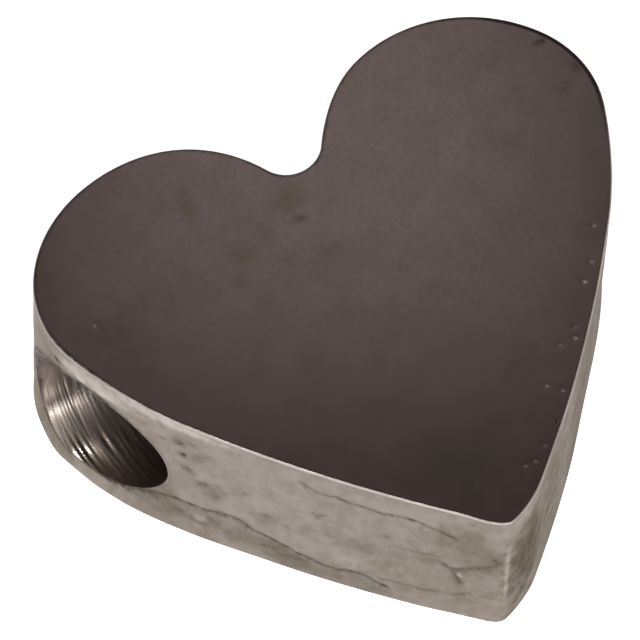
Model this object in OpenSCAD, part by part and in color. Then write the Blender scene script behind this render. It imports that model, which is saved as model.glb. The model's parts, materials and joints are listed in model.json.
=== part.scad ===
/* [Heart] */
// Width of the heart, from side to side
heart_w = 11; // [10:0.5:16]
// Thickness of the plate that the heart is cut from
thickness = 4; // [3.6:0.1:6]
// Radius of the top of each lobe, as a share of half the width
lobe_share = 0.498; // [0.48:0.001:0.51]
// Radius of the shoulder at the widest point, as a share of half the width
shoulder_share = 0.362; // [0.34:0.001:0.38]
// Radius of the cheek below the shoulder, as a share of half the width
cheek_share = 1.376; // [1.2:0.001:1.5]
// Radius of the nearly straight flank, as a share of half the width
flank_share = 5.273; // [5:0.001:6]
// Radius of the last turn in to the tip, as a share of half the width
tip_share = 0.277; // [0.25:0.001:0.3]
// Radius of the rounded notch between the lobes, as a share of half the width
notch_share = 0.115; // [0.1:0.001:0.13]

/* [Bore] */
// Diameter of the bore that runs through both lobes, from side to side
bore_d = 2.9; // [1.5:0.1:3]
// Height of the bore's centre line above the back
bore_z = 1.8; // [1.7:0.05:1.9]
// How far the bore lies above the middle of the heart, as a share of half the width
bore_share = 0.242; // [0.2:0.001:0.25]

/* [Finish] */
// Colour of the bare steel
steel = "#8f8781"; // [#8f8781:Worn steel, #b9b4ae:Polished steel, #4a4240:Dark steel]

/* [Hidden] */

// Directions in which the outline faces where one arc runs on into the next,
// in degrees above the horizontal, going down the right side
lobe_end = 33.57;
shoulder_end = -19.05;
cheek_end = -36.89;
flank_end = -47.6;
// The direction in which the middle of the notch lies, seen from its centre
notch_start = -90;

// The outline is drawn in short sides: the furthest that one turns, in degrees,
// and the longest that one is
side_turn = 5;
side_length = 0.4;
// Sides of the full circle of the bore, and how far its drill runs past each end
bore_sides = 96;
run_out = 1;

half_w = heart_w / 2;
lobe_r = lobe_share * half_w;
shoulder_r = shoulder_share * half_w;
cheek_r = cheek_share * half_w;
flank_r = flank_share * half_w;
tip_r = tip_share * half_w;
notch_r = notch_share * half_w;
bore_y = bore_share * half_w;

// The step of length r in the direction a
function step(r, a) = r * [cos(a), sin(a)];

// The arcs touch without a corner, so the centre of each follows from the one before.
// Here the lobe's centre is at the height 0. The shoulder holds the widest point, so
// it fixes how far out the lobe lies.
lobe_c = [half_w - shoulder_r - (lobe_r - shoulder_r) * cos(lobe_end), 0];
shoulder_c = lobe_c + step(lobe_r - shoulder_r, lobe_end);
cheek_c = shoulder_c + step(shoulder_r - cheek_r, shoulder_end);
flank_c = cheek_c + step(cheek_r - flank_r, cheek_end);
tip_c = flank_c + step(flank_r - tip_r, flank_end);

// The tip's arc ends on the middle line, where the two sides meet in a blunt corner
tip_end = -acos(-tip_c.x / tip_r);

// The notch's circle touches both lobes from outside
notch_c = [0, sqrt(pow(lobe_r + notch_r, 2) - pow(lobe_c.x, 2))];
lobe_start = atan2(notch_c.y, -lobe_c.x);
notch_end = lobe_start - 180;

// The middle of the height, which comes to lie on the origin
middle = [0, (lobe_r + tip_c.y + step(tip_r, tip_end).y) / 2];

// One row for each arc of the right half, from the notch to the tip:
// centre, radius, first direction, last direction
ARCS = [
    [notch_c, notch_r, notch_start, notch_end],
    [lobe_c, lobe_r, lobe_start, lobe_end],
    [shoulder_c, shoulder_r, lobe_end, shoulder_end],
    [cheek_c, cheek_r, shoulder_end, cheek_end],
    [flank_c, flank_r, cheek_end, flank_end],
    [tip_c, tip_r, flank_end, tip_end],
];

// Sides that an arc of radius r needs for its sweep
function sides(r, sweep) = ceil(max(sweep / side_turn, r * sweep * PI / 180 / side_length));

// The corners along an arc, without its last one, which the next arc starts with
function arc_points(c, r, first, last) =
    let (n = sides(r, abs(last - first)))
    [for (i = [0:n - 1]) c + step(r, first + (last - first) * i / n)];

function mirrored(p) = [-p.x, p.y];

module heart_outline() {
    right = [for (arc = ARCS) each arc_points(arc[0], arc[1], arc[2], arc[3])];
    tip = tip_c + step(tip_r, tip_end);
    left = [for (i = [len(right) - 1:-1:1]) mirrored(right[i])];
    translate(-middle) polygon(concat(right, [tip], left));
}

module bore() {
    translate([-half_w - run_out, bore_y, bore_z])
        rotate([0, 90, 0])
            cylinder(d = bore_d, h = heart_w + 2 * run_out, $fn = bore_sides);
}

// One piece of steel: a heart cut from plate and drilled through from side to side
module heart_bead() {
    color(steel)
        difference() {
            linear_extrude(height = thickness) heart_outline();
            bore();
        }
}

heart_bead();
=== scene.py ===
# %% [markdown]
# # A heart bead charm
# The bead is a small heart of stainless steel, cut from plate and drilled through from side to
# side, so that it slides on a cord. Its shape is simple, and almost everything that the eye
# reads is surface: a buffed face, raw walls with splits and pits, and the drill's rings.
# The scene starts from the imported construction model, which fixes the size and the place.

# %% Load the construction model
import json
import math

import bmesh
import bpy
import numpy as np
from mathutils import Matrix, Vector, noise
from mathutils.bvhtree import BVHTree


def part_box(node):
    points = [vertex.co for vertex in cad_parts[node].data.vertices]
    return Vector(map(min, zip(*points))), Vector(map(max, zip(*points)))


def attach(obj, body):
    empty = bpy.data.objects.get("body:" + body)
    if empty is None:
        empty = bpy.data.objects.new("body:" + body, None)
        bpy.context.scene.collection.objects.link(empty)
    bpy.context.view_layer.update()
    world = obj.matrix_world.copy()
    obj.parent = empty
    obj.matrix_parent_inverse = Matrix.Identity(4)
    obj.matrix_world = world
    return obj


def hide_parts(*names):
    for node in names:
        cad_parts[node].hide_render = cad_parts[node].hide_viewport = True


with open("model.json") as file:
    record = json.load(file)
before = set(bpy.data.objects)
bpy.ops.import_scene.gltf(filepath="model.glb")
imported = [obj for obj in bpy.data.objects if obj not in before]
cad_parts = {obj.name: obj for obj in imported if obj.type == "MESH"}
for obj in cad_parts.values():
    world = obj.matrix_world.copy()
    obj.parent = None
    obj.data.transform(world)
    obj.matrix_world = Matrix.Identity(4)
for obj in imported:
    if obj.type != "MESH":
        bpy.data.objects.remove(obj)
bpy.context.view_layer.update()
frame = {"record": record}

# %% [markdown]
# ## Sizes
# All shapes are worked out in millimetres and turned into metres once, at the end. The width,
# the thickness and the bore come from the construction model, so the detailed bead can't drift
# away from it. The outline is six arcs that touch without a corner, and its radii are shares of
# half the width.

# %% Driving sizes, in millimetres
MM = 0.001
box_low, box_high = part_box("heart_bead")
half_w = (box_high[0] - box_low[0]) / 2 / MM
thickness = (box_high[2] - box_low[2]) / MM
bore = next(m for m in frame["record"]["mounts"] if m["name"] == "bore")
bore_r = bore["dims"]["r_mm"]
bore_y, bore_z = bore["pos_m"][1] / MM, bore["pos_m"][2] / MM

LOBE_R, SHOULDER_R, CHEEK_R, FLANK_R, TIP_R, NOTCH_R = (
    share * half_w for share in (0.498, 0.362, 1.376, 5.273, 0.277, 0.115))
# Directions, in degrees, in which each arc hands over to the next
LOBE_END, SHOULDER_END, CHEEK_END, FLANK_END = 33.57, -19.05, -36.89, -47.6
print(f"half width {half_w:.2f}, thickness {thickness:.2f}, bore radius {bore_r:.2f} mm")


# %% Arcs of the right half, from the notch down to the tip
def step(r, degrees):
    """A move of r millimetres in a direction, where 0 degrees is along X."""
    return Vector((math.cos(math.radians(degrees)), math.sin(math.radians(degrees)), 0)) * r


lobe_c = Vector((half_w - SHOULDER_R - step(LOBE_R - SHOULDER_R, LOBE_END).x, 0, 0))
shoulder_c = lobe_c + step(LOBE_R - SHOULDER_R, LOBE_END)
cheek_c = shoulder_c + step(SHOULDER_R - CHEEK_R, SHOULDER_END)
flank_c = cheek_c + step(CHEEK_R - FLANK_R, CHEEK_END)
tip_c = flank_c + step(FLANK_R - TIP_R, FLANK_END)
tip_end = -math.degrees(math.acos(-tip_c.x / TIP_R))
notch_c = Vector((0, math.sqrt((LOBE_R + NOTCH_R) ** 2 - lobe_c.x ** 2), 0))
lobe_start = math.degrees(math.atan2(notch_c.y, -lobe_c.x))
middle = Vector((0, (LOBE_R + (tip_c + step(TIP_R, tip_end)).y) / 2, 0))

# Each row: centre, radius, first direction, last direction
ARCS = [(c - middle, r, first, last) for c, r, first, last in (
    (notch_c, NOTCH_R, -90, lobe_start - 180),
    (lobe_c, LOBE_R, lobe_start, LOBE_END),
    (shoulder_c, SHOULDER_R, LOBE_END, SHOULDER_END),
    (cheek_c, CHEEK_R, SHOULDER_END, CHEEK_END),
    (flank_c, FLANK_R, CHEEK_END, FLANK_END),
    (tip_c, TIP_R, FLANK_END, tip_end))]
arc_lengths = [r * math.radians(abs(last - first)) for _, r, first, last in ARCS]
half_round = sum(arc_lengths)
print(f"{len(ARCS)} arcs, {half_round:.2f} mm from the notch to the tip")

# %% [markdown]
# ## The slab
# On the real bead a saw or a water jet cuts the outline out of plate. A polygon with typed
# corners would work, but spinning one vertex round each arc's centre draws the same line as a
# pair of compasses does, and keeps the arcs round at any density. The left half is its mirror
# image. The closed line becomes a face, and the face is extruded to the plate's thickness.

# %% Draw the outline and extrude it
SIDE = 0.05        # longest side of the outline
TURN = 3.0         # most that one side turns, in degrees
TIP_BEVEL = 0.04   # how far back the blunt corner at the tip is worn
SEWN = 0.01        # corners of the two halves that lie this share of a side apart are one

bm = bmesh.new()
centre, radius, first, _ = ARCS[0]
pen = bmesh.ops.create_vert(bm, co=centre + step(radius, first))["vert"][0]
for centre, radius, first, last in ARCS:
    sweep = last - first
    steps = math.ceil(max(abs(sweep) / TURN, radius * math.radians(abs(sweep)) / SIDE))
    spun = bmesh.ops.spin(bm, geom=[pen], cent=centre, axis=(0, 0, 1), dvec=(0, 0, 0),
                          angle=math.radians(sweep), steps=steps)
    pen = next(v for v in spun["geom_last"] if isinstance(v, bmesh.types.BMVert))
bmesh.ops.mirror(bm, geom=bm.verts[:] + bm.edges[:], matrix=Matrix.Identity(4),
                 merge_dist=SIDE * SEWN, axis="X")
bmesh.ops.contextual_create(bm, geom=bm.edges[:])
tip = min(bm.verts, key=lambda v: v.co.y)
bmesh.ops.bevel(bm, geom=[tip], offset=TIP_BEVEL, offset_type="OFFSET", segments=3, profile=0.5,
                affect="VERTICES", material=-1)
base = bm.faces[:][0]    # the only face so far
top = bmesh.ops.extrude_face_region(bm, geom=[base])["geom"]
bmesh.ops.translate(bm, verts=[v for v in top if isinstance(v, bmesh.types.BMVert)],
                    vec=(0, 0, thickness))
print(f"slab: {len(bm.verts)} corners, {len(bm.faces)} faces")

# %% [markdown]
# ## Worn edges and rows
# Tumbling breaks the sharp rims of a cut plate to a narrow round, which is the bright line that
# runs round the face in the photo. A bevel operator rounds each rim with a few segments. After
# that the tall wall faces are subdivided into rows, so that the splits and pits of the raw wall
# can be pressed into real geometry. Three narrow insets give both flat faces a border that stays
# flat, so that the soft shading of the round can't spread over them.

# %% Round the rims
EDGE_R = 0.03      # width of the worn round at the rims
SAME = 1e-4        # heights that differ by less count as the same
FACE, WALL, BORE, BACK, RIM, LIP_RIM = range(6)   # material indices


def lies_at(edge, z):
    """Whether both ends of an edge lie at the height z."""
    return all(abs(v.co.z - z) < SAME for v in edge.verts)


rims = [e for e in bm.edges if lies_at(e, 0) or lies_at(e, thickness)]
bmesh.ops.recalc_face_normals(bm, faces=bm.faces[:])
rounded = bmesh.ops.bevel(bm, geom=rims, offset=EDGE_R, offset_type="OFFSET", segments=3,
                          profile=0.5, affect="EDGES", material=-1, clamp_overlap=False)
for face in bm.faces:
    face.material_index = WALL
for face in rounded["faces"]:
    face.material_index = RIM
print(f"rims: {len(rims)} edges made {len(rounded['faces'])} faces")

# %% Add rows to the wall
ROW = 0.05         # height of one row of the wall

uprights = [e for e in bm.edges if abs(e.verts[0].co.z - e.verts[1].co.z) > thickness / 2]
rows = round((thickness - 2 * EDGE_R) / ROW)
bmesh.ops.subdivide_edges(bm, edges=uprights, cuts=rows - 1, use_grid_fill=True)
print(f"wall: {len(uprights)} columns, {rows} rows")

# %% Give both faces a flat border
SUPPORTS = (0.012, 0.04, 0.012)   # widths of the flat strips inside each rim

for flat, index in ((thickness, FACE), (0, BACK)):
    cap = max((f for f in bm.faces if abs(f.calc_center_median().z - flat) < SAME),
              key=lambda f: len(f.verts))
    cap.material_index = index
    for width in SUPPORTS:
        strip = bmesh.ops.inset_region(bm, faces=[cap], thickness=width, use_even_offset=True)
        for face in strip["faces"]:
            face.material_index = index
print(f"borders: {len(SUPPORTS)} strips each, {sum(SUPPORTS):.3f} mm wide")

# %% [markdown]
# ## The bore
# A drill leaves a round hole whose mouth is an oval on the slanting wall. A Boolean would cut
# it, but would leave slivers round the mouth, where the light is brightest. Here a window is
# taken out of the wall, and a ring with even spacing is laid on it, by rays that run along the
# bore from the bead's middle. The gap between the two is filled. The ring then turns over a
# small worn lip into the hole, and bridging joins the two mouths into one tube.

# %% Chart of the lip
LIP = (            # direction from the bore's axis (0 is the notch side, 90 is up), width,
    (-180, 0.060, 0.20, 0.0),    # how dark the lip is painted, how dark along its outer border
    (-150, 0.040, 0.40, 0.1),
    (-130, 0.025, 0.90, 0.3),
    (-95, 0.020, 1.00, 0.5),
    (-60, 0.020, 1.00, 0.5),
    (-30, 0.060, 0.90, 0.4),
    (5, 0.280, 0.75, 0.3),
    (45, 0.120, 0.90, 0.5),
    (80, 0.050, 0.80, 0.5),
    (180, 0.050, 0.20, 0.0))


def ease(x, chart, column):
    """Reads a column of a chart at x, with a soft turn at each row."""
    stops = np.array([row[0] for row in chart])
    values = np.array([row[column] for row in chart])
    place = np.clip(np.interp(x, stops, np.arange(len(stops))), 0, len(stops) - 1)
    low = np.minimum(place.astype(int), len(stops) - 2)
    t = place - low
    return values[low] + (values[low + 1] - values[low]) * t * t * (3 - 2 * t)


def soft_step(x, start, end):
    """0 before start, 1 after end, and a smooth ramp between them."""
    t = np.clip((x - start) / (end - start), 0, 1)
    return t * t * (3 - 2 * t)


print(f"lip: {min(row[1] for row in LIP)} to {max(row[1] for row in LIP)} mm wide")


# %% Measure the wall round a mouth
def lip_width(y, z):
    """Width of the lip in the direction of a point, as seen along the bore."""
    return float(ease(math.degrees(math.atan2(z - bore_z, y - bore_y)), LIP, 1))


def past_lip(v):
    """How far a corner lies outside the lip, as seen along the bore."""
    y, z = v.co.y, v.co.z
    return math.hypot(y - bore_y, z - bore_z) - bore_r - lip_width(y, z)


wall_tree = BVHTree.FromBMesh(bm)


def wall_x(y, z, side):
    """Where a line along the bore meets the wall, on the left (-1) or the right (1)."""
    return wall_tree.ray_cast(Vector((0, y, z)), Vector((side, 0, 0)))[0].x


def lip_ring(ring, side, turn):
    """Lays a ring on the lip: turn 0 is on the wall, turn 90 is in the bore."""
    for v in ring:
        width = lip_width(v.co.y, v.co.z)
        angle = math.atan2(v.co.z - bore_z, v.co.y - bore_y)
        radius = bore_r + width * (1 - math.sin(math.radians(turn)))
        sink = width * (1 - math.cos(math.radians(turn)))
        y, z = bore_y + radius * math.cos(angle), bore_z + radius * math.sin(angle)
        v.co = wall_x(y, z, side) - side * sink, y, z


print(f"wall: {wall_x(bore_y, bore_z, 1):.2f} mm from the middle, on the bore's axis")

# %% Cut the two mouths
RING = 132         # corners round the bore
WINDOW = 0.08      # how far the opening in the wall's grid stays outside the lip
LIP_STEPS = 5
MOUTHS_BEYOND = half_w * 0.6   # the mouths lie further out than this

mouth_edges = []
facing = Matrix.Translation((0, bore_y, bore_z)) @ Matrix.Rotation(math.pi / 2, 4, "Y")
for side in (-1, 1):
    window = [f for f in bm.faces if f.material_index == WALL
              and f.verts[0].co.x * side > MOUTHS_BEYOND
              and min(past_lip(v) for v in f.verts) < WINDOW]
    window_edges = {e for f in window for e in f.edges}
    bmesh.ops.delete(bm, geom=window, context="FACES")
    gap = [e for e in window_edges if e.is_valid and e.is_boundary]
    ring = bmesh.ops.create_circle(bm, cap_ends=False, radius=bore_r, segments=RING,
                                   matrix=facing)["verts"]
    lip_ring(ring, side, 0)
    ring_edges = list({e for v in ring for e in v.link_edges})
    filled = bmesh.ops.triangle_fill(bm, edges=gap + ring_edges, use_beauty=True,
                                     normal=(side, 0, 0))
    for part in filled["geom"]:
        if isinstance(part, bmesh.types.BMFace):
            part.material_index = WALL
    for k in range(LIP_STEPS):
        grown = bmesh.ops.extrude_edge_only(bm, edges=ring_edges)["geom"]
        ring = [g for g in grown if isinstance(g, bmesh.types.BMVert)]
        for part in grown:
            if isinstance(part, bmesh.types.BMFace):
                part.material_index = LIP_RIM
        lip_ring(ring, side, 90 * (k + 1) / LIP_STEPS)
        ring_edges = [g for g in grown if isinstance(g, bmesh.types.BMEdge)
                      and all(v in set(ring) for v in g.verts)]
    mouth_edges += ring_edges
    print(f"mouth {side:+d}: {len(window)} wall faces out, {len(gap)} edges round the gap")

# %% Join the mouths into one tube
BORE_ROWS = 200
MOUTH_SHARE = 0.3   # spacing of the rows at a mouth, as a share of the even spacing
SPREAD = 4          # the higher, the longer the rows stay close together

tube = bmesh.ops.bridge_loops(bm, edges=mouth_edges)["faces"]
for face in tube:
    face.material_index = BORE
spans = {e for f in tube for e in f.edges
         if abs(e.verts[0].co.x - e.verts[1].co.x) > MOUTHS_BEYOND}
bmesh.ops.subdivide_edges(bm, edges=list(spans), cuts=BORE_ROWS - 1, use_grid_fill=True)
for v in {v for f in bm.faces if f.material_index == BORE for v in f.verts}:
    side = math.copysign(1, v.co.x)
    end = wall_x(v.co.y, v.co.z, side) - side * lip_width(v.co.y, v.co.z)
    depth = 1 - v.co.x / end
    v.co.x = end * (1 - MOUTH_SHARE * depth - (1 - MOUTH_SHARE) * depth ** SPREAD)
print(f"bore: {RING} columns, {BORE_ROWS} rows, {sum(e.is_boundary for e in bm.edges)} open edges")

# %% [markdown]
# ## A grid on the two flat faces
# A buffing wheel never leaves a dead flat face: it sinks a little towards the rim, and this
# slight crown is what bends the reflections. A flat polygon can't bend, so bisecting planes cut
# both faces into a grid. A subdivision surface would do it too, but would soften the rims.

# %% Cut both faces into a grid
FACE_GRID, BACK_GRID = 0.1, 0.2   # spacing of the cuts
ON_CUT = 0.002     # a corner nearer to a cut than this share of the spacing lies on it

for index, grid in ((FACE, FACE_GRID), (BACK, BACK_GRID)):
    cap = max((f for f in bm.faces if f.material_index == index), key=lambda f: f.calc_area())
    pieces = [cap, *cap.edges, *cap.verts]
    for axis in (Vector((1, 0, 0)), Vector((0, 1, 0))):
        for k in range(-round(half_w / grid), round(half_w / grid)):
            pieces = bmesh.ops.bisect_plane(bm, geom=pieces, plane_co=axis * (k + 0.5) * grid,
                                            plane_no=axis, dist=grid * ON_CUT)["geom"]
bmesh.ops.recalc_face_normals(bm, faces=bm.faces[:])
print(f"faces with a grid: {len(bm.faces)} faces in all")

# %% [markdown]
# ## Nicks
# Other steel has struck the face, mostly near its right rim, and left tiny dents that glint.
# They could be painted on the corners of the grid, but each would smear over four cells. Here the
# cell that lies nearest is inset by itself, which gives the dent a floor and sloping walls of its
# own. The floors sink later, when the face is painted, and are painted bright there as a painted
# glint.

# %% Mark out the nicks
FACE_NICKS = (  # x, y and strength of the tiny nicks; the strength is how bright the nick's floor is painted, a painted glint
    (2.62, -2.10, 0.90),
    (3.33, -1.23, 0.90),
    (1.46, -3.37, 0.70),
    (1.70, -2.65, 0.60),
    (3.60, -0.94, 0.50),
    (3.97, -0.28, 0.55),
    (1.90, -2.98, 0.60),
    (1.13, -3.69, 0.50),
    (2.31, -2.14, 0.45),
    (0.59, -3.94, 0.50),
    (0.84, -3.94, 0.45),
    (2.68, -1.90, 0.45),
    (-4.75, 2.08, 0.50))
NICK_WALL = 0.034  # width of a nick's sloping border
WHOLE = 0.6        # a cell that the rim cuts down below this share takes no nick

smallest = WHOLE * FACE_GRID ** 2
cells = [f for f in bm.faces if f.material_index == FACE and f.calc_area() > smallest]
nicks = [min(cells, key=lambda f: (f.calc_center_median().xy - Vector(row[:2])).length)
         for row in FACE_NICKS]
bmesh.ops.inset_individual(bm, faces=nicks, thickness=NICK_WALL)
print(f"{len(nicks)} nicks, chosen from {len(cells)} cells")

# %% [markdown]
# ## A map of the surface
# Marks on the wall are easiest to place on an unrolled strip: how far along the outline from
# the tip, and how high above the back. Here every corner of the mesh gets those two numbers,
# its depth inside the outline, and the direction that points straight out of the wall. The
# corners of the bore get the angle round its axis as well. Left of the tip counts as minus.

# %% Unroll the outline
def along_outline(points):
    """Run from the tip, depth inside the outline, and outward direction of each point."""
    nearest = np.full(len(points), np.inf)
    run, inside, outward = nearest.copy(), nearest.copy(), np.zeros((len(points), 2))
    half = np.column_stack((np.abs(points[:, 0]), points[:, 1]))    # folded onto the right half
    left = half_round    # what is left of the way down to the tip
    for number, ((centre, radius, first, last), length) in enumerate(zip(ARCS, arc_lengths)):
        arm = half - centre[:2]
        turn = np.degrees(np.arctan2(arm[:, 1], arm[:, 0])) - first
        share = np.clip(((turn + 180) % 360 - 180) / (last - first), 0, 1)    # of the arc
        angle = np.radians(first + share * (last - first))
        spoke = np.column_stack((np.cos(angle), np.sin(angle)))
        gap = np.linalg.norm(arm - spoke * radius, axis=1)
        if number == 0:    # the notch's arc is hollow, so its outside is towards its centre
            spoke = -spoke
        closer = gap < nearest
        nearest[closer] = gap[closer]
        run[closer] = (left - share * length)[closer]
        outward[closer] = spoke[closer]
        rim_point = centre[:2] + np.column_stack((np.cos(angle), np.sin(angle))) * radius
        inside[closer] = -((half - rim_point) * spoke).sum(axis=1)[closer]
        left -= length
    side = np.where(points[:, 0] < 0, -1, 1)
    outward[:, 0] *= side
    return run * side, inside, outward


RIM_REACH = 1.5 * EDGE_R   # how far in from the outline a corner still belongs to the rim

bm.verts.index_update()
points = np.array([v.co for v in bm.verts])
run, inside, outward = along_outline(points)
height = points[:, 2].copy()
in_hole = np.zeros(len(points), dtype=bool)
in_hole[[v.index for f in bm.faces if f.material_index in (BORE, LIP_RIM) for v in f.verts]] = True
from_axis = np.hypot(points[:, 1] - bore_y, points[:, 2] - bore_z)
around = np.arctan2(points[:, 2] - bore_z, points[:, 1] - bore_y)
from_lip = from_axis - bore_r - ease(np.degrees(around), LIP, 1)
between = (height > EDGE_R / 2) & (height < thickness - EDGE_R / 2)
on_wall = (inside < EDGE_R) & between & ~in_hole
on_rim = (inside < RIM_REACH) & ~between & ~in_hole
print(f"{on_wall.sum()} corners on the wall, {in_hole.sum()} in the bore")

# %% [markdown]
# ## The cut line wanders
# A cut through thick plate is never quite the drawn line. At the tip the corner leans over, the
# face's more than the back's, and under the bore the back stands a little proud. A short chart
# gives how far the real outline lies outside the drawn one, at the face and at the back, and
# each corner of the mesh is pushed that far along its outward direction. Inside the faces and
# round the bore's mouths the push fades out.

# %% Push the outline to the cut line
FADE = 1.2         # depth at which the push has faded from a face
MOUTH_FADE = 0.5   # the same for the wall, towards a mouth of the bore
WANDER = (         # run from the tip, outside the drawn line at the face, at the back
    (-16.5, 0.00, 0.00),
    (-14.4, 0.06, 0.02),
    (-12.5, 0.01, 0.00),
    (-10.6, 0.04, 0.00),
    (-9.4, 0.03, 0.00),
    (-8.6, 0.02, 0.06),
    (-7.7, 0.02, 0.09),
    (-6.0, 0.04, 0.06),
    (-4.4, 0.045, 0.02),
    (-1.6, 0.045, 0.01),
    (-0.6, 0.045, -0.01),
    (0.0, 0.03, 0.05),
    (0.5, 0.04, 0.03),
    (0.9, 0.05, 0.05),
    (3.0, 0.07, 0.06),
    (4.6, 0.07, 0.03),
    (6.0, 0.06, 0.05),
    (8.0, 0.04, 0.03),
    (10.4, 0.05, 0.00),
    (11.9, 0.05, 0.00),
    (14.0, 0.05, 0.01),
    (15.5, -0.02, 0.00),
    (16.5, 0.00, 0.00))
TIP_LEAN = Vector((-0.13, -0.07))   # how far the face's corner leans over at the tip
TIP_REACH = 0.5                     # how far along the outline the lean is felt
TIP_FOOT = Vector((-0.10, 0.00))    # the same for the back's corner

up = np.clip(height / thickness, 0, 1)
push = ease(run, WANDER, 1) * up + ease(run, WANDER, 2) * (1 - up)
hold = np.where(in_hole, 0, 1 - soft_step(inside, 0, FADE))
hold *= np.where(on_wall, soft_step(from_lip, 0, MOUTH_FADE), 1)
lean = (np.exp(-(run / TIP_REACH) ** 2) * hold)[:, None] * (
    np.outer(up, TIP_LEAN) + np.outer(1 - up, TIP_FOOT))
moved = points.copy()
moved[:, :2] += outward * (push * hold)[:, None] + lean
print(f"outline pushed by {(push * hold).min():.3f} to {(push * hold).max():.3f} mm")

# %% [markdown]
# ## Splits, scales and pits
# The wall of the real bead is raw: the metal has split along its grain in long ragged lines, one
# side of a split often stands lower than the other, and small pits and flakes lie between them. On
# the side that the photo shows, the lines are charted one by one, in millimetres on the unrolled
# wall. On the other sides the same kinds of mark are drawn at random from one seed.
# Each mark presses the mesh inwards and also darkens a painted attribute, because oxide and
# polishing dirt stay in what the buff can't reach. Below a split's step the darkening is painted
# shade as well.

# %% Chart of the splits
SPLITS = (   # half width, depth, step down below the line, dirt, points as (run, height),
    # where the run is counted to the left of the tip
    (0.056, 0.022, 0.006, 0.64, ((3.88, 3.47), (3.78, 3.37), (3.55, 3.29), (3.38, 3.28),
                                 (3.20, 3.36), (3.00, 3.27), (2.80, 3.28), (2.58, 3.26),
                                 (2.35, 3.22), (2.20, 3.28), (2.00, 3.30), (1.83, 3.32),
                                 (1.65, 3.26), (1.45, 3.16), (1.25, 3.10), (1.05, 3.00))),
    (0.044, 0.015, 0.000, 0.47, ((1.58, 3.20), (1.68, 3.02))),
    (0.088, 0.030, 0.008, 0.68, ((0.12, 2.35), (0.35, 2.12), (0.60, 2.00), (0.85, 1.82),
                                 (1.00, 1.72))),
    (0.062, 0.026, 0.000, 0.64, ((1.32, 1.95), (1.10, 1.75), (0.95, 1.45), (0.88, 1.27))),
    (0.060, 0.030, 0.018, 0.80, ((2.25, 0.40), (2.42, 0.42), (2.58, 0.57), (2.75, 0.60),
                                 (2.95, 0.60), (3.10, 0.46), (3.40, 0.48), (3.70, 0.60),
                                 (3.95, 0.64), (4.20, 0.78), (4.45, 0.92), (4.75, 0.97),
                                 (4.85, 1.02), (5.05, 1.18), (5.35, 1.17), (5.70, 1.08),
                                 (6.20, 1.08), (6.40, 0.98), (6.75, 0.80), (7.20, 0.45))),
    (0.100, 0.020, 0.004, 0.62, ((4.85, 1.00), (5.05, 1.16), (5.35, 1.15), (5.70, 1.05),
                                 (5.95, 1.06))),
    (0.085, 0.020, 0.012, 0.72, ((3.02, 0.50), (3.40, 0.47), (3.70, 0.59), (3.95, 0.63),
                                 (4.15, 0.76))),
    (0.044, 0.011, 0.004, 0.38, ((0.70, 0.97), (1.00, 0.75), (1.30, 0.75), (1.60, 0.68),
                                 (1.90, 0.70), (2.35, 0.68))),
    (0.050, 0.015, 0.000, 0.47, ((4.20, 0.66), (4.38, 0.50))),
    (0.050, 0.012, 0.000, 0.50, ((4.55, 0.52), (4.20, 0.42), (3.85, 0.40), (3.60, 0.46))),
    (0.056, 0.019, 0.000, 0.55, ((3.40, 2.50), (3.53, 2.36), (3.53, 2.27))),
    (0.056, 0.015, 0.000, 0.51, ((3.63, 2.46), (3.53, 2.36))),
    (0.044, 0.009, 0.000, 0.30, ((3.15, 1.62), (3.25, 1.40))),
    (0.062, 0.011, 0.000, 0.42, ((5.35, 0.80), (5.60, 0.68))),
    (0.056, 0.011, 0.000, 0.34, ((1.30, 2.12), (2.05, 2.10))))
print(f"{len(SPLITS)} splits are charted")

# %% Chart of the pits
PITS = (     # run to the left of the tip, height, radius, depth, dirt
    (6.22, 3.27, 0.10, 0.030, 0.85),
    (6.12, 2.88, 0.09, 0.030, 0.90),
    (6.02, 2.38, 0.10, 0.025, 0.70),
    (6.53, 3.20, 0.07, 0.015, 0.50),
    (6.62, 3.72, 0.07, 0.015, 0.50),
    (5.93, 3.40, 0.09, 0.010, 0.45),
    (5.85, 2.98, 0.12, 0.010, 0.35),
    (5.62, 3.10, 0.10, 0.006, 0.25),
    (4.50, 1.70, 0.11, 0.018, 0.50),
    (4.13, 1.58, 0.07, 0.012, 0.40),
    (4.93, 2.30, 0.07, 0.018, 0.55),
    (5.56, 0.76, 0.10, 0.020, 0.85),
    (5.80, 2.02, 0.10, 0.012, 0.55),
    (5.68, 2.08, 0.06, 0.012, 0.50),
    (5.45, 2.19, 0.06, 0.012, 0.45),
    (5.43, 1.80, 0.07, 0.014, 0.50),
    (2.28, 2.36, 0.12, 0.012, 0.45),
    (2.60, 1.80, 0.30, 0.008, 0.35),
    (3.30, 1.78, 0.12, 0.008, 0.30),
    (3.72, 1.72, 0.12, 0.008, 0.28),
    (0.65, 2.62, 0.05, 0.015, 0.50),
    (0.20, 2.50, 0.17, 0.012, 0.55),
    (0.74, 3.72, 0.06, 0.010, 0.40),
    (6.18, 0.66, 0.17, 0.015, 0.75),
    (5.98, 0.58, 0.09, 0.012, 0.60),
    (6.70, 0.72, 0.16, 0.020, 0.55),
    (2.45, 0.22, 0.22, 0.010, 0.45),
    (8.92, 3.40, 0.12, 0.020, 0.65),
    (9.05, 3.10, 0.14, 0.012, 0.40))
print(f"{len(PITS)} pits are charted")
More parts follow.
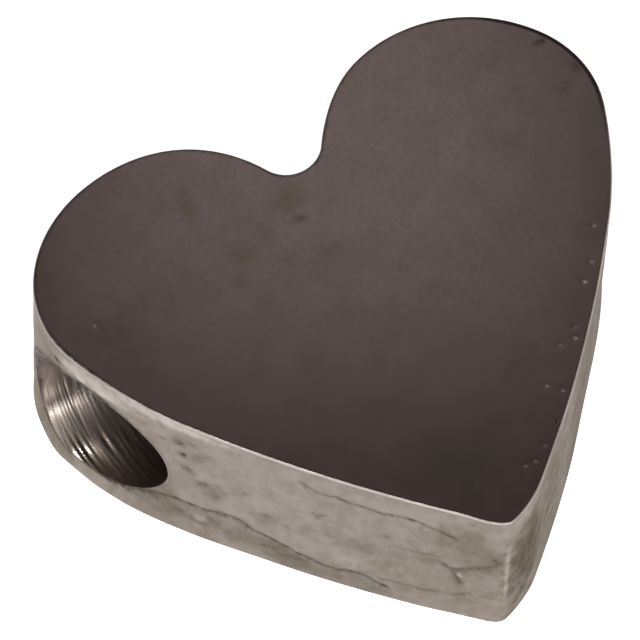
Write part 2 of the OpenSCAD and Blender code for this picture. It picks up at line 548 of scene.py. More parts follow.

# %% Chart of the wall's tones
# Mostly stains. The ones right of the tip darken the whole wall beyond the tip, and the long low
# ones on the left darken the wall towards its foot: both are painted shade.
STAINS_AND_SHADE = (   # run (minus is left), height, half length, half height, strength
    (-0.50, 2.40, 0.50, 0.60, 0.90),
    (-2.90, 1.75, 0.90, 0.35, 0.22),
    (-2.20, 2.45, 0.30, 0.35, 0.25),
    (-1.60, 1.50, 0.70, 0.50, 0.20),
    (-5.62, 1.95, 0.40, 0.30, 0.60),
    (-4.50, 1.62, 0.30, 0.22, 0.60),
    (-3.20, 0.20, 1.30, 0.35, 0.50),
    (-4.60, 0.55, 0.80, 0.40, 0.70),
    (-5.80, 0.45, 0.90, 0.50, 0.40),
    (-7.20, 0.20, 0.90, 0.35, 0.40),
    (-4.10, 0.30, 0.70, 0.25, 1.00),
    (-6.70, 0.80, 0.80, 0.50, 0.80),
    (-1.20, 1.20, 1.20, 1.60, 0.50),
    (-0.80, 2.90, 0.60, 0.70, 0.90),
    (-2.90, 0.35, 0.90, 0.30, 0.50),
    (-4.50, 0.10, 5.50, 1.00, 0.35),
    (-9.60, 3.30, 0.80, 0.80, 0.40),
    (-6.00, 3.20, 0.40, 0.50, 0.35),
    (-9.80, 0.60, 2.20, 0.80, 0.45),
    (0.60, 2.20, 0.70, 1.60, 1.00),
    (1.70, 2.60, 0.60, 1.20, 0.80),
    (3.20, 0.60, 0.50, 0.50, 0.90),
    (4.00, 2.00, 4.50, 4.00, 0.40),
    (7.50, 2.00, 3.00, 4.00, 0.30))
SHADE_CHART = (   # the same columns, for painted shade: the wall beyond the tip, and under the low split
    (0.55, 1.90, 0.50, 1.70, 0.65),
    (1.60, 2.00, 1.20, 4.00, 0.34),
    (4.20, 2.00, 1.60, 4.00, 0.44),
    (-4.00, 0.45, 0.35, 0.18, 0.35),
    (6.80, 2.00, 2.60, 4.00, 0.42),
    (-5.95, 0.62, 0.70, 0.30, 0.30),
    (-6.90, 0.55, 0.50, 0.25, 0.25))
WEAR_AND_HIGHLIGHTS = (   # the same columns, for places painted bright: painted highlights on the web above the bore, along the top of the wall and on a flake, and rubbed wear
    (-8.00, 3.65, 0.90, 0.30, 0.60),
    (-8.30, 3.50, 0.16, 0.12, 0.95),
    (-7.75, 3.52, 0.34, 0.12, 0.95),
    (-5.75, 0.70, 0.15, 0.12, 0.50),
    (-3.00, 0.95, 0.30, 0.25, 0.20),
    (-6.60, 3.85, 1.60, 0.15, 0.60),
    (-0.74, 1.22, 0.05, 0.18, 0.15),
    (-0.92, 1.58, 0.07, 0.10, 0.55),
    (-5.80, 0.42, 0.14, 0.12, 0.30),
    (-6.30, 1.00, 0.16, 0.08, 0.20),
    (0.30, 3.70, 0.35, 0.35, 0.35))
print(f"{len(STAINS_AND_SHADE)} stains, {len(SHADE_CHART)} dark and {len(WEAR_AND_HIGHLIGHTS)} bright places are charted")

# %% Draw the marks of the other sides
SEED = 7
rng = np.random.default_rng(SEED)
CHARTED = 9.0      # on the left, the chart reaches this far from the tip
STRETCH = 1.9      # the rest of the outline is filled in stretches of this length
SPLITS_EACH, PITS_EACH = 2, 7
JOG_EVERY, JOG_UP, JOG_ALONG = 0.22, 0.05, 0.04   # spacing of a split's jogs, and their size
MARGINS = (0.25, thickness - 0.3)                 # lowest and highest place of a jog
SPLIT_HEIGHTS, SPLIT_START, SPLIT_LENGTH = (0.4, thickness - 0.5), (0, 1), (0.8, 3.4)
HALF_WIDTH, SPLIT_DEPTH, SPLIT_DIRT = (0.025, 0.05), (0.006, 0.022), (0.15, 0.55)
LEDGES = (0, 0.004, 0.01)  # steps down below a split
PIT_HEIGHTS, PIT_RADIUS, PIT_DIRT = (0.3, thickness - 0.3), (0.04, 0.1), (0.15, 0.5)
PIT_SHARE = (0.08, 0.3)    # depth of a pit as a share of its radius


def ragged_line(start, base, length):
    """A split that runs along the wall and jogs up and down."""
    stops = np.arange(0, length, JOG_EVERY)
    jogs = np.cumsum(rng.normal(0, JOG_UP, len(stops)))
    return tuple((start + a + rng.normal(0, JOG_ALONG), float(np.clip(base + b, *MARGINS)))
                 for a, b in zip(stops, jogs))


splits = [(*row[:4], tuple((-r, h) for r, h in row[4])) for row in SPLITS]
pits = [(-row[0], *row[1:]) for row in PITS]
for start in np.arange(-half_round, half_round, STRETCH):
    if -CHARTED < start < 0:
        continue
    for base in rng.uniform(*SPLIT_HEIGHTS, SPLITS_EACH):
        line = ragged_line(start + rng.uniform(*SPLIT_START), base, rng.uniform(*SPLIT_LENGTH))
        splits.append((rng.uniform(*HALF_WIDTH), rng.uniform(*SPLIT_DEPTH),
                       rng.choice(LEDGES), rng.uniform(*SPLIT_DIRT), line))
    for _ in range(PITS_EACH):
        radius = rng.uniform(*PIT_RADIUS)
        pits.append((start + rng.uniform(0, STRETCH), rng.uniform(*PIT_HEIGHTS), radius,
                     radius * rng.uniform(*PIT_SHARE), rng.uniform(*PIT_DIRT)))
print(f"{len(splits)} splits and {len(pits)} pits in all")


# %% Helpers that measure a mark
def noise_at(positions, size, seed):
    """Soft random values from about -1 to 1, with features of a given size in millimetres."""
    fading, finer, octaves = 1.0, 2.0, 3
    away = Vector((seed, 0, 0))
    return np.array([noise.fractal(Vector(p) / size + away, fading, finer, octaves)
                     for p in positions])


def distance_to(line, x, y):
    """Distance of each point from a line of short straight pieces."""
    best = np.full(len(x), np.inf)
    for (ax, ay), (bx, by) in zip(line, line[1:]):
        along = (bx - ax, by - ay)
        t = ((x - ax) * along[0] + (y - ay) * along[1]) / (along[0] ** 2 + along[1] ** 2)
        t = np.clip(t, 0, 1)
        best = np.minimum(best, np.hypot(x - ax - t * along[0], y - ay - t * along[1]))
    return best


def patches(chart, x, y, uneven):
    """Soft oval patches of tone, with ragged borders."""
    core, border, fray = 0.2, 1.5, 0.5   # in half sizes of the patch
    tone = np.zeros(len(x))
    for where, high, half_long, half_high, strength in chart:
        reach = np.hypot((x - where) / half_long, (y - high) / half_high)
        tone = np.maximum(tone, strength * (1 - soft_step(reach + fray * uneven, core, border)))
    return tone


wall = np.flatnonzero(on_wall)
x, y = run[wall], height[wall]
jitter = noise_at(points[wall], size=0.25, seed=11)
ragged = noise_at(points[wall], size=0.09, seed=23)
depth, dirt_and_shade = np.zeros(len(wall)), np.zeros(len(wall))
print(f"unevenness from {jitter.min():.2f} to {jitter.max():.2f}")

# %% Work out the splits
BEND, FINE_BEND = 0.03, 0.02   # how far the coarse and the fine unevenness bend a split
SPLIT_FRAY = 0.5               # how much the fine one widens and narrows it
SPLIT_TONE = (0.8, 0.6, 0.4)   # level of its dirt, and swing with the coarse and the fine one
LEDGE_EDGE = 0.06              # below a split, the step down is made over this height
LEDGE_FADE = (0.25, 1.1)       # and fades out between these distances from it
LEDGE_END = 0.4                # near the split's ends it fades over this length
LEDGE_SHADE_AND_DIRT = 14                # dirt and painted shade below the step, for each millimetre of it
LEDGE_TONE = (0.7, 0.5)        # level of that darkening, and swing with the coarse unevenness

for half_width, deep, ledge, dark, line in splits:
    reach = distance_to(line, x, y + BEND * jitter + FINE_BEND * ragged)
    near = np.exp(-(reach / (half_width * (1 + SPLIT_FRAY * ragged))) ** 2)
    depth += deep * near
    mottle = SPLIT_TONE[0] + SPLIT_TONE[1] * jitter + SPLIT_TONE[2] * ragged
    dirt_and_shade = np.maximum(dirt_and_shade, dark * np.clip(near * mottle, 0, 1))
    ordered = sorted(line)
    first, last = ordered[0][0], ordered[-1][0]
    below = np.interp(x, *np.array(ordered).T) - y - BEND * jitter
    lower = soft_step(below, 0, LEDGE_EDGE) * (1 - soft_step(below, *LEDGE_FADE))
    lower *= soft_step(x, first, first + LEDGE_END) * (1 - soft_step(x, last - LEDGE_END, last))
    depth += ledge * lower
    # Below the step the wall is painted darker: painted shade, with some dirt
    mottle = LEDGE_TONE[0] + LEDGE_TONE[1] * jitter
    dirt_and_shade = np.maximum(dirt_and_shade, LEDGE_SHADE_AND_DIRT * ledge * lower * mottle)
print(f"deepest split {depth.max():.3f} mm")

# %% Work out the pits and the open grain
PIT_FRAY = 0.6           # how much the coarse unevenness widens and narrows a pit
PIT_TONE = (0.8, 0.5)    # level of its dirt, and swing with the fine unevenness
NOTCH_FADE = 0.25        # the marks fade towards the notch's middle, where the strip's ends meet
GRAIN, SWELL = 0.0025, 0.004   # heights of the open grain and of longer swells

for where, high, radius, deep, dark in pits:
    near = np.exp(-(np.hypot(x - where, y - high) / (radius * (1 + PIT_FRAY * jitter))) ** 2)
    depth += deep * near
    dirt_and_shade = np.maximum(dirt_and_shade, dark * near * (PIT_TONE[0] + PIT_TONE[1] * ragged))
apart = soft_step(half_round - np.abs(x), 0, NOTCH_FADE)
depth, dirt_and_shade = depth * apart, dirt_and_shade * apart
swells = noise_at(points[wall], size=0.9, seed=31)
depth += SWELL * (1 + swells) + GRAIN * (1 + jitter)
print(f"deepest mark {depth.max():.3f} mm")

# %% Press the marks into the wall
WALL_FADE = 0.12   # below the rims and round the mouths the marks fade over this width

free = soft_step(np.minimum(y, thickness - y), EDGE_R, EDGE_R + WALL_FADE)
free *= soft_step(from_lip[wall], 0, WALL_FADE)
moved[wall, :2] -= outward[wall] * (depth * free)[:, None]
print(f"pressed in by up to {(depth * free).max():.3f} mm, {(depth * free).mean():.4f} on average")

# %% Paint the wall's tones
SEAM = 0.06                 # width of the darker border outside the lip
EDGE_TONE = (0.9, 0.5)      # level and swing of the darkening along the lip and the rims
DARK_RAG, BRIGHT_RAG = 0.9, 0.5   # how ragged the dark and the bright places are
TIP_SHINE = 0.6             # how bright the painted highlight along the upright edge at the tip is
SHINE_FOOT, SHINE_TOP = (0.3, 1.6), (2.4, 3.4)   # heights over which the shine comes and goes

tones = {name: np.zeros(len(points)) for name in ("grime_and_shade", "stain_and_shade", "wear_and_highlight")}
seam = ease(np.degrees(around[wall]), LIP, 3) * np.exp(-(from_lip[wall] / SEAM) ** 2)
seam *= EDGE_TONE[0] + EDGE_TONE[1] * jitter
# Painted shade on the wall beyond the tip and under the low split
painted_shade = patches(SHADE_CHART, x, y, DARK_RAG * jitter)
tones["grime_and_shade"][wall] = np.maximum(np.clip(np.maximum(dirt_and_shade, seam), 0, 1), painted_shade)
# Stain, with painted shade on the wall beyond the tip and towards its foot
tones["stain_and_shade"][wall] = patches(STAINS_AND_SHADE, x, y, jitter)
# A painted highlight along the upright edge at the tip
shine = TIP_SHINE * np.exp(-(x / TIP_BEVEL) ** 2)
shine *= soft_step(y, *SHINE_FOOT) * (1 - soft_step(y, *SHINE_TOP))
# Bright places: wear and painted highlights, and the painted highlight along the tip's edge
tones["wear_and_highlight"][wall] = np.maximum(patches(WEAR_AND_HIGHLIGHTS, x, y, BRIGHT_RAG * jitter), shine)
print(f"grime on the wall {tones['grime_and_shade'][wall].mean():.2f} on average")

# %% Dull the rims
RIM_DIRT_AND_SHADE = (  # run, how dark and dull the rim is painted there; along the right lobe's far rim, between runs 9 and 12, that darkness is painted shade
    (-16.5, 0.40),
    (-14.0, 0.20),
    (-11.0, 0.40),
    (-8.2, 0.70),
    (-7.2, 0.40),
    (-4.5, 0.35),
    (-0.2, 0.45),
    (0.4, 0.00),
    (7.5, 0.00),
    (9.0, 0.80),
    (12.0, 0.80),
    (12.8, 0.30),
    (16.5, 0.30))

rim = np.flatnonzero(on_rim)
rim_noise = noise_at(points[rim], size=0.3, seed=5)
# Dirt on the rims, and painted shade along the right lobe's far rim
tones["grime_and_shade"][rim] = ease(run[rim], RIM_DIRT_AND_SHADE, 1) * (EDGE_TONE[0] + EDGE_TONE[1] * rim_noise)
print(f"{len(rim)} corners on the rims")

# %% [markdown]
# ## The drill's rings
# A twist drill leaves fine rings in its hole, because chips drag round between the flutes. The
# pitch is uneven, less than a tenth of a millimetre. The rings are pressed into the tube as real
# grooves, and they lean a little, since the drill moves on as it turns. Deep in the bore, where
# the rows lie too far apart for them, they are left to the finish.

# %% Chart of the rings
RING_PITCH, RING_DEPTH = 0.045, 0.006
RING_LEAN = 0.05              # how far a ring leans along the bore, to each side
RING_CHANGE = 1.8             # how fast the rings change on their way round, for each radian
FINE_RINGS, FINE_CHANGE = 2.3, 2.0   # finer ones: how many to one ring, and how fast they change
FINE_SHARE = 0.2              # their height as a share of the others'
RING_SEED, FINE_SEED = 3, 9
RING_SINK = 0.6               # how much more the rings are grooves than ridges
RING_REACH = (2.2 / 3, 2.2)   # depths between which the rings fade out of the mesh
RING_START = (0.20, 0.50)     # depths between which one height turns into the other
RING_STEEP = (     # direction from the bore's axis, height of the rings at the mouth, deeper
    (-180, 0.30, 0.30),
    (-110, 1.00, 0.80),
    (-79, 3.40, 1.90),
    (-64, 0.50, 0.70),
    (-42, 0.40, 1.30),
    (-25, 0.30, 1.00),
    (-5, 0.05, 0.10),
    (180, 0.05, 0.20))
print(f"rings: a ridge or a groove about every {RING_PITCH} mm")

# %% Turn the rings
BLEND = 0.02       # the lip turns into the bore over this width

hole = np.flatnonzero(in_hole)
direction = np.degrees(around[hole])
lead = points[hole, 0] + RING_LEAN * np.cos(around[hole])
rings = np.array([
    noise.noise(Vector((a / RING_PITCH, RING_CHANGE * b, RING_SEED)))
    + FINE_SHARE * noise.noise(Vector((a / RING_PITCH * FINE_RINGS, FINE_CHANGE * b, FINE_SEED)))
    for a, b in zip(lead, around[hole])])
at_mouth, deeper = (ease(direction, RING_STEEP, column) for column in (1, 2))
groove = RING_DEPTH * (rings + RING_SINK)
groove *= soft_step(bore_r + BLEND - from_axis[hole], 0, BLEND)
groove *= 1 - soft_step(inside[hole], *RING_REACH)
groove *= at_mouth + (deeper - at_mouth) * soft_step(inside[hole], *RING_START)
moved[hole, 1] += groove * np.cos(around[hole])
moved[hole, 2] += groove * np.sin(around[hole])
print(f"rings up to {groove.max():.4f} mm deep")

# %% Paint the bore and its lip
BORE_DIRT_AND_SHADE = (      # depth below the wall, and how dark it is painted there: dirt, with painted shade that grows deeper in
    (0.0, 0.16),
    (0.4, 0.24),
    (0.9, 0.52),
    (1.4, 0.58),
    (2.2, 0.44),
    (6.0, 0.40))
BORE_HIGHLIGHTS = (     # direction, depth, half sizes and strength of the places where the dark paint is taken away: painted highlights along the glint bands
    (-79, 0.32, 11, 0.45, 1.0),
    (-33, 0.25, 14, 0.30, 0.8))
BORE_FILM = (      # the same columns, for browned places
    (-52, 0.25, 12, 0.30, 0.6),)
RING_TONE = 0.35   # how much more dirt lies in a groove

in_lip = soft_step(from_axis[hole] - bore_r, 0, BLEND)
# Dirt, and painted shade that darkens the bore deeper in
bore_dirt_and_shade = ease(inside[hole], BORE_DIRT_AND_SHADE, 1) * (1 + RING_TONE * rings)
# Lighter along the glint bands: painted highlights
bore_dirt_and_shade *= 1 - patches(BORE_HIGHLIGHTS, direction, inside[hole], 0)
border = ease(direction, LIP, 3) * np.exp(-(from_lip[hole] / SEAM) ** 2)
# The lip, and a border just outside it, are painted darker
lip_darkening = np.maximum(ease(direction, LIP, 2), border)
tones["grime_and_shade"][hole] = np.clip(bore_dirt_and_shade + (lip_darkening - bore_dirt_and_shade) * in_lip, 0, 1)
tones["stain_and_shade"][hole] = patches(BORE_FILM, direction, inside[hole], rings)
print(f"dirt in the bore {bore_dirt_and_shade.mean():.2f} on average")

# %% [markdown]
# ## The buffed face
# A buffing wheel leaves a mirror that is not quite flat: the middle stands a few hundredths of a
# millimetre high. Nobody sees the height, but the crown spreads the reflection over the face.
# The face also carries a film from handling, in olive patches and a few darker smudges. Both
# are painted on the corners of its grid, and the nicks marked out above sink into it.

# %% Buff the crown
CROWN = 0.06       # height of the face's middle above its rim
CROWN_DEPTH = 0.6  # the rise fades out this far below the face
LOBE_RUNS = (8.2, 9.2, 10.8, 11.8)   # the right lobe's rim is worn lower between these runs
LOBE_WEAR = 0.008
WORN_WIDTH = EDGE_R + 1.5 * SUPPORTS[0]   # how far in from the outline it is worn

rise = CROWN * (1 - (points[:, 0] ** 2 + points[:, 1] ** 2) / half_w ** 2)
rise *= soft_step(height, thickness - CROWN_DEPTH, thickness)
worn_lobe = soft_step(run, *LOBE_RUNS[:2]) * (1 - soft_step(run, *LOBE_RUNS[2:]))
worn_lobe *= (inside < WORN_WIDTH) & (height > thickness - EDGE_R)
rise -= LOBE_WEAR * worn_lobe
moved[:, 2] += rise
print(f"crown {rise.max():.3f} mm")

# %% Paint the film, sink the nicks
FACE_FILM = (  # x, y, half sizes and strength of the olive patches on the face
    (-0.42, 2.72, 0.34, 0.26, 0.90),
    (-0.50, 2.25, 0.20, 0.10, 0.90),
    (-1.18, 2.22, 0.22, 0.26, 0.65),
    (-1.73, 2.10, 0.30, 0.26, 0.75),
    (-2.04, 1.66, 0.20, 0.26, 0.65),
    (-0.30, 1.41, 0.34, 0.16, 0.60),
    (-2.16, 3.43, 0.14, 0.36, 0.70),
    (-4.14, 1.54, 0.90, 0.60, 0.30),
    (-0.40, -3.30, 0.60, 0.60, 0.50))
FACE_SMUDGE = (  # the same columns, for darker smudges
    (5.00, 3.36, 0.12, 0.06, 0.50),
    (5.30, 2.62, 0.06, 0.14, 0.40),
    (4.89, 2.37, 0.22, 0.12, 0.16),
    (-0.49, 2.25, 0.10, 0.06, 0.20),
    (-1.44, 2.70, 0.20, 0.07, 0.12),
    (-1.10, 1.63, 0.08, 0.08, 0.16))
NICK_DEPTH = 0.0012
SMUDGE_RAG = 0.5   # how ragged the smudges are, next to the patches

flat = np.flatnonzero((height > thickness - EDGE_R / 2) & ~on_rim & ~in_hole)
x, y = points[flat, 0], points[flat, 1]
uneven = noise_at(points[flat], size=0.4, seed=41)
tones["stain_and_shade"][flat] = patches(FACE_FILM, x, y, uneven)
tones["grime_and_shade"][flat] = patches(FACE_SMUDGE, x, y, SMUDGE_RAG * uneven)
# Each nick's floor is painted bright, a painted glint, and sinks a little
for cell, (_, _, strength) in zip(nicks, FACE_NICKS):
    corners = [v.index for v in cell.verts]
    tones["wear_and_highlight"][corners] = strength
    moved[corners, 2] -= NICK_DEPTH
print(f"{len(flat)} corners on the face, film {tones['stain_and_shade'][flat].mean():.2f} on average")

# %% [markdown]
# ## One closed piece
# The corners go to their final places, the whole is scaled from millimetres to metres, and the
# bmesh becomes the mesh of one object. It stands for the imported solid and rides on the part's
# one body.

# %% Make the object
for v in bm.verts:
    v.co = Vector(moved[v.index]) * MM
for face in bm.faces:
    face.smooth = True
bmesh.ops.recalc_face_normals(bm, faces=bm.faces[:])
mesh = bpy.data.meshes.new("heart_bead_raw_steel")
bm.to_mesh(mesh)
bm.free()
for name, values in tones.items():
    mesh.attributes.new(name, "FLOAT", "POINT").data.foreach_set("value", values)
bead = bpy.data.objects.new("heart_bead_raw_steel", mesh)
bpy.context.scene.collection.objects.link(bead)
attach(bead, "root")
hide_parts("heart_bead")
triangles = sum(len(p.vertices) - 2 for p in mesh.polygons)
print(f"bead: {len(mesh.vertices)} corners, {triangles} triangles")

# %% [markdown]
# ## Finishes
# All the finishes are one stainless steel whose surface was left in different states, so they
# share one recipe: a metal whose colour moves between a clean and a stained tone in soft patches
# and where stain and painted shade lie, whose painted grime and painted shade darken and dull it,
# whose painted wear and highlights lighten it, and whose bump holds only what is finer than the
# mesh. Colours are written as sRGB hex, the way a colour picker shows them.

# %% Helpers for materials
def hex_colour(code):
    """An sRGB hex code as the linear colour that shaders work in."""
    parts = [int(code[i:i + 2], 16) / 255 for i in (1, 3, 5)]
    linear = [c / 12.92 if c <= 0.04045 else ((c + 0.055) / 1.055) ** 2.4 for c in parts]
    return (*linear, 1)


def add(tree, kind, sockets, **settings):
    """Adds a node, sets its options, and gives each socket a value or another node's output."""
    made = tree.nodes.new(kind)
    for name, value in settings.items():
        setattr(made, name, value)
    for name, value in sockets.items():
        if isinstance(value, bpy.types.NodeSocket):
            tree.links.new(value, made.inputs[name])
        else:
            made.inputs[name].default_value = value
    return made


print(f"middle grey, #808080, is {hex_colour('#808080')[0]:.3f} in linear light")

# %% Recipe for the steel
PER_MM = 1 / MM
SHARE, FIRST, SECOND, MIXED = 0, 6, 7, 2   # sockets of a Mix node that mixes colours
OCTAVES, OCTAVE_SHARE = (4.0, 3.0), 0.6    # of the soft and the fine pattern
STAIN_RANGE, STAIN_MOST = (0.36, 0.68), 0.5   # soft values between which stain comes in, its most
DARKENING_RANGE = (0.35, 0.65)   # fine values between which grime and painted shade go from thin to thick,
DARKENING_SHARES = (0.5, 1.4)    # and what is then left of them
ROUGH_RANGE = (0.3, 0.7)     # fine values between which the roughness goes from least to most


def steel(name, clean, stain_and_shade_colour, dirt_and_shade_colour, bright, patch, grain, rough, dull, bump,
          bright_range=(0.4, 1.5), edge="#ffffff"):
    """Steel in one state, from its clean colour, its colour where stain and painted shade lie, its
    colour where grime and painted shade lie, and its bright colour, for wear and painted
    highlights. Patch and grain are (x, y, z) sizes in mm of a soft and a fine pattern, rough the
    lowest and highest roughness, dull what full grime and painted shade add to it, and bump the
    grain's height in mm. The bright range gives the values between which a place of wear and
    painted highlight turns bright, and edge the tint of the reflection at a glancing angle, which
    oxide darkens."""
    material = bpy.data.materials.new(name)
    material.use_nodes = True
    tree = material.node_tree
    shader = tree.nodes["Principled BSDF"]
    shader.inputs["Metallic"].default_value = 1.0
    shader.inputs["Specular Tint"].default_value = hex_colour(edge)
    place = add(tree, "ShaderNodeTexCoord", {}).outputs["Object"]
    grime_and_shade, stain_and_shade, wear_and_highlight = (
        add(tree, "ShaderNodeAttribute", {}, attribute_name=tone).outputs["Fac"]
        for tone in ("grime_and_shade", "stain_and_shade", "wear_and_highlight"))
    soft, fine = (
        add(tree, "ShaderNodeTexNoise", {
            "Vector": add(tree, "ShaderNodeMapping", {
                "Vector": place, "Scale": [PER_MM / s for s in size]}).outputs["Vector"],
            "Scale": 1.0, "Detail": detail, "Roughness": OCTAVE_SHARE}).outputs["Fac"]
        for size, detail in zip((patch, grain), OCTAVES))

    # Stain and painted shade show where they are painted, and stain also by itself in soft patches
    spread = add(tree, "ShaderNodeMapRange", {
        "Value": soft, "From Min": STAIN_RANGE[0], "From Max": STAIN_RANGE[1],
        "To Max": STAIN_MOST}, interpolation_type="SMOOTHSTEP").outputs["Result"]
    share = add(tree, "ShaderNodeMath", {0: spread, 1: stain_and_shade},
                operation="ADD", use_clamp=True).outputs["Value"]

    # Wear and painted highlights show first on the crests of the grain
    crests = add(tree, "ShaderNodeMath", {0: fine, 1: wear_and_highlight}, operation="ADD").outputs["Value"]
    wear_and_highlight_share = add(tree, "ShaderNodeMapRange", {
        "Value": crests, "From Min": bright_range[0], "From Max": bright_range[1]},
        interpolation_type="SMOOTHSTEP").outputs["Result"]

    # The grain breaks up the grime and the painted shade
    thinned = add(tree, "ShaderNodeMapRange", {
        "Value": fine, "From Min": DARKENING_RANGE[0], "From Max": DARKENING_RANGE[1],
        "To Min": DARKENING_SHARES[0], "To Max": DARKENING_SHARES[1]}).outputs["Result"]
    broken = add(tree, "ShaderNodeMath", {0: grime_and_shade, 1: thinned},
                 operation="MULTIPLY", use_clamp=True).outputs["Value"]
    tone = hex_colour(clean)
    for factor, code in ((share, stain_and_shade_colour), (wear_and_highlight_share, bright), (broken, dirt_and_shade_colour)):
        tone = add(tree, "ShaderNodeMix", {
            SHARE: factor, FIRST: tone, SECOND: hex_colour(code)},
            data_type="RGBA").outputs[MIXED]

    # The grain varies the roughness and lifts the surface, and grime and painted shade dull it
    uneven = add(tree, "ShaderNodeMapRange", {
        "Value": fine, "From Min": ROUGH_RANGE[0], "From Max": ROUGH_RANGE[1],
        "To Min": rough[0], "To Max": rough[1]}).outputs["Result"]
    dulled = add(tree, "ShaderNodeMath", {0: grime_and_shade, 1: dull, 2: uneven},
                 operation="MULTIPLY_ADD").outputs["Value"]
    relief = add(tree, "ShaderNodeBump", {"Height": fine, "Distance": bump * MM})
    for socket, value in (("Base Color", tone), ("Roughness", dulled),
                          ("Normal", relief.outputs["Normal"])):
        tree.links.new(value, shader.inputs[socket])
    return material


print(f"recipe: {len(OCTAVES)} patterns and {len(tones)} painted tones")

# %% The six states of the steel
# Stainless steel buffed to a mirror, then filmed over by handling: brownish, a little soft. Its
# colours are darker than buffed steel, which is painted shade for the dark room that the face
# mirrors, and the light tone paints a glint on each nick.
buffed = steel("buffed_stainless_film_and_shade", "#827472", "#746a60", "#40382f", "#c0b7b2",
               patch=(0.8, 0.8, 0.8), grain=(0.09, 0.09, 0.09), rough=(0.16, 0.2), dull=0.15,
               bump=0.0001, bright_range=(0.65, 1.5))
# As split and cut: satin, grey to khaki, and dark brown where oxide sits in the splits. The khaki
# and the dark brown also paint shade on the wall beyond the tip, under the low split and towards
# its foot. The light tone paints highlights along the top of the wall, on the web above the bore
# and at the tip.
raw = steel("raw_split_stainless", "#928b86", "#756e63", "#4a433c", "#c2bab3",
            patch=(0.35, 0.35, 0.45), grain=(0.12, 0.12, 0.18), rough=(0.36, 0.5), dull=0.25,
            bump=0.006, edge="#cbc4be")
# Drilled dry: shiny crests that glint, with smeared, browned metal between them. The dark tone
# also paints shade deeper in the bore, and the clean tone paints the glint bands near the mouths
# lighter.
drilled = steel("drilled_stainless", "#c8bab0", "#8f847b", "#5a4e47", "#d8d0c8",
                patch=(0.12, 1.5, 1.5), grain=(0.012, 1.2, 1.2), rough=(0.22, 0.30), dull=0.2,
                bump=0.0007)
# The back keeps its mill finish and is scuffed by what it rests on.
mill = steel("mill_finish_stainless", "#9a9289", "#827a70", "#4a4238", "#b4aca4",
             patch=(1.6, 1.6, 1.6), grain=(0.9, 0.06, 0.3), rough=(0.26, 0.4), dull=0.3,
             bump=0.003)
# Rims that wear against skin and cord stay the brightest. The dark tone also paints shade along
# the far rim of the right lobe.
worn = steel("worn_rim_stainless", "#bfb6b0", "#a39b94", "#554d48", "#d0c8c2",
             patch=(0.5, 0.5, 0.5), grain=(0.12, 0.12, 0.12), rough=(0.3, 0.4), dull=0.2,
             bump=0.001)
# The lip at the bore's mouths, which the cord has worn soft and browned: it shines dully.
lip_finish = steel("worn_lip_stainless", "#8b7d79", "#796c66", "#4e443f", "#b0a4a0",
                   patch=(0.5, 0.5, 0.5), grain=(0.30, 0.30, 0.30), rough=(0.4, 0.5),
                   dull=0.2, bump=0.001)
finishes = {FACE: buffed, WALL: raw, BORE: drilled, BACK: mill, RIM: worn, LIP_RIM: lip_finish}
for index in range(len(finishes)):
    mesh.materials.append(finishes[index])
print("finishes:", [m.name for m in mesh.materials])

# %% [markdown]
# ## Camera
# The photo was taken from above the bead's front left with a long lens, so its parallel edges
# hardly close up. The camera stands where the outline and the bore's mouth of the model fall on
# those of the photo. It could be aimed with a Track To constraint, but three unit vectors are
# simpler to read: one to the right of the picture, one up it, and one back to the camera. They
# come from the camera's turn round the bead, its height above the floor and its roll.

# %% Place the camera
AZIMUTH, ELEVATION, ROLL = -31.66, 62.40, 3.12     # degrees
DISTANCE, LENS, SENSOR = 242.1, 757.9, 36.0        # millimetres
AIM = (-1.06, 1.617)                               # aim point, right of and above the origin
CLIP_START = 0.01                                  # metres, well in front of the bead

level_right, rise, roll = (step(1, angle) for angle in (AZIMUTH, ELEVATION, ROLL))
back_to_eye = Vector((level_right.y * rise.x, -level_right.x * rise.x, rise.y))
level_up = back_to_eye.cross(level_right)
right = level_right * roll.x + level_up * roll.y
upward = level_up * roll.x - level_right * roll.y
aim = right * AIM[0] + upward * AIM[1]

camera_data = bpy.data.cameras.new("camera")
camera_data.lens, camera_data.sensor_width = LENS, SENSOR
camera_data.clip_start = CLIP_START
camera = bpy.data.objects.new("camera", camera_data)
bpy.context.scene.collection.objects.link(camera)
axes = Matrix((right, upward, back_to_eye)).transposed().to_4x4()
camera.matrix_world = Matrix.Translation((aim + back_to_eye * DISTANCE) * MM) @ axes
bpy.context.scene.camera = camera
print("camera at", [round(x, 4) for x in camera.matrix_world.translation])

# %% [markdown]
# ## Floor and light
# A metal shows its surroundings and little else. The bead lies on a lit white sheet, the way
# small parts are shot for a cut-out, so hardly any shadow falls and the walls mirror a bright
# floor. The face mirrors the space high behind the bead, so it goes dark when that space is
# dark: no lamp hangs there, only a small dim card whose reflection fades across the face. Three
# softboxes at the front and the left light the long wall and draw the line along the near rim,
# and two dim ones at the right lift the wall beyond the tip. Two narrow strips make the glints
# on the drill's rings. The room grows darker towards the horizon, which blackens the far rim.

# %% Lay the sheet
SHEET_HALF = 0.6   # metres from the middle of the sheet to its sides

floor_bm = bmesh.new()
bmesh.ops.create_grid(floor_bm, x_segments=1, y_segments=1, size=SHEET_HALF)
floor_mesh = bpy.data.meshes.new("floor")
floor_bm.to_mesh(floor_mesh)
floor_bm.free()
floor = bpy.data.objects.new("floor", floor_mesh)
bpy.context.scene.collection.objects.link(floor)
# Opal acrylic lit from below: matt and evenly white, with hardly a shadow on it.
sheet = bpy.data.materials.new("lit_opal_acrylic_sheet")
sheet.use_nodes = True
sheet_shader = sheet.node_tree.nodes["Principled BSDF"]
for socket, value in (("Base Color", hex_colour("#e8e8e8")), ("Roughness", 0.9),
                      ("Specular IOR Level", 0.1), ("Emission Color", hex_colour("#ffffff")),
                      ("Emission Strength", 0.8)):
    sheet_shader.inputs[socket].default_value = value
floor_mesh.materials.append(sheet)
print(f"sheet: {2 * SHEET_HALF} m square")

# %% Darken the room
# How far the direction of sight points up (1 is straight up), and the light that comes from there
HORIZON, OVERHEAD = (0.2, 0.18), (0.9, 0.36)

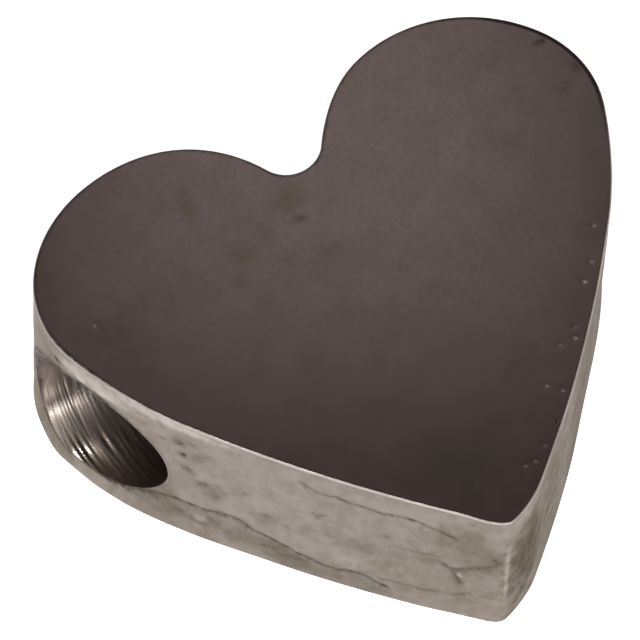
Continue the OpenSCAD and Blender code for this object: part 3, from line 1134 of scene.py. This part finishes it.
world = bpy.data.worlds.new("studio")
world.use_nodes = True
sky = world.node_tree
background = sky.nodes["Background"]
background.inputs["Color"].default_value = hex_colour("#9c918f")
look = add(sky, "ShaderNodeTexCoord", {}).outputs["Generated"]
climb = add(sky, "ShaderNodeSeparateXYZ", {"Vector": look}).outputs["Z"]
dusk = add(sky, "ShaderNodeMapRange", {
    "Value": climb, "From Min": HORIZON[0], "From Max": OVERHEAD[0],
    "To Min": HORIZON[1], "To Max": OVERHEAD[1]})
sky.links.new(dusk.outputs["Result"], background.inputs["Strength"])
bpy.context.scene.world = world
bpy.context.scene.view_settings.view_transform = "Standard"
print(f"room: {HORIZON[1]} at the horizon to {OVERHEAD[1]} overhead")

# %% Set the lamps
LAMPS = (    # name, direction from the bead, distance, width and height in metres, radiance
    ("softbox_overhead", (0.22, -0.68, 0.70), 0.60, 0.40, 0.40, 1.5),
    ("softbox_low_left", (-0.62, -0.72, 0.30), 0.35, 0.12, 0.12, 3.2),
    ("softbox_left", (-0.62, -0.38, 0.68), 0.45, 0.32, 0.32, 1.8),
    ("strip_front", (-0.05, -0.90, 0.42), 0.35, 0.22, 0.04, 11.0),
    ("strip_over_bore", (-0.24, 0.00, 0.97), 0.45, 0.09, 0.04, 42.0),
    ("softbox_right", (0.90, -0.20, 0.26), 0.60, 0.40, 0.40, 0.53),
    ("softbox_high_right", (0.75, -0.02, 0.66), 0.60, 0.20, 0.20, 1.00),
    ("card_behind", (0.249, 0.443, 0.861), 0.122, 0.021, 0.021, 0.62))
for name, direction, distance, wide, tall, radiance in LAMPS:
    lamp = bpy.data.lights.new(name, "AREA")
    lamp.shape, lamp.size, lamp.size_y = "RECTANGLE", wide, tall
    lamp.energy = radiance * math.pi * wide * tall
    toward = Vector(direction).normalized()
    holder = bpy.data.objects.new(name, lamp)
    bpy.context.scene.collection.objects.link(holder)
    holder.matrix_world = (Matrix.Translation(toward * distance)
                           @ toward.to_track_quat("Z", "Y").to_matrix().to_4x4())
print(f"{len(LAMPS)} lamps")
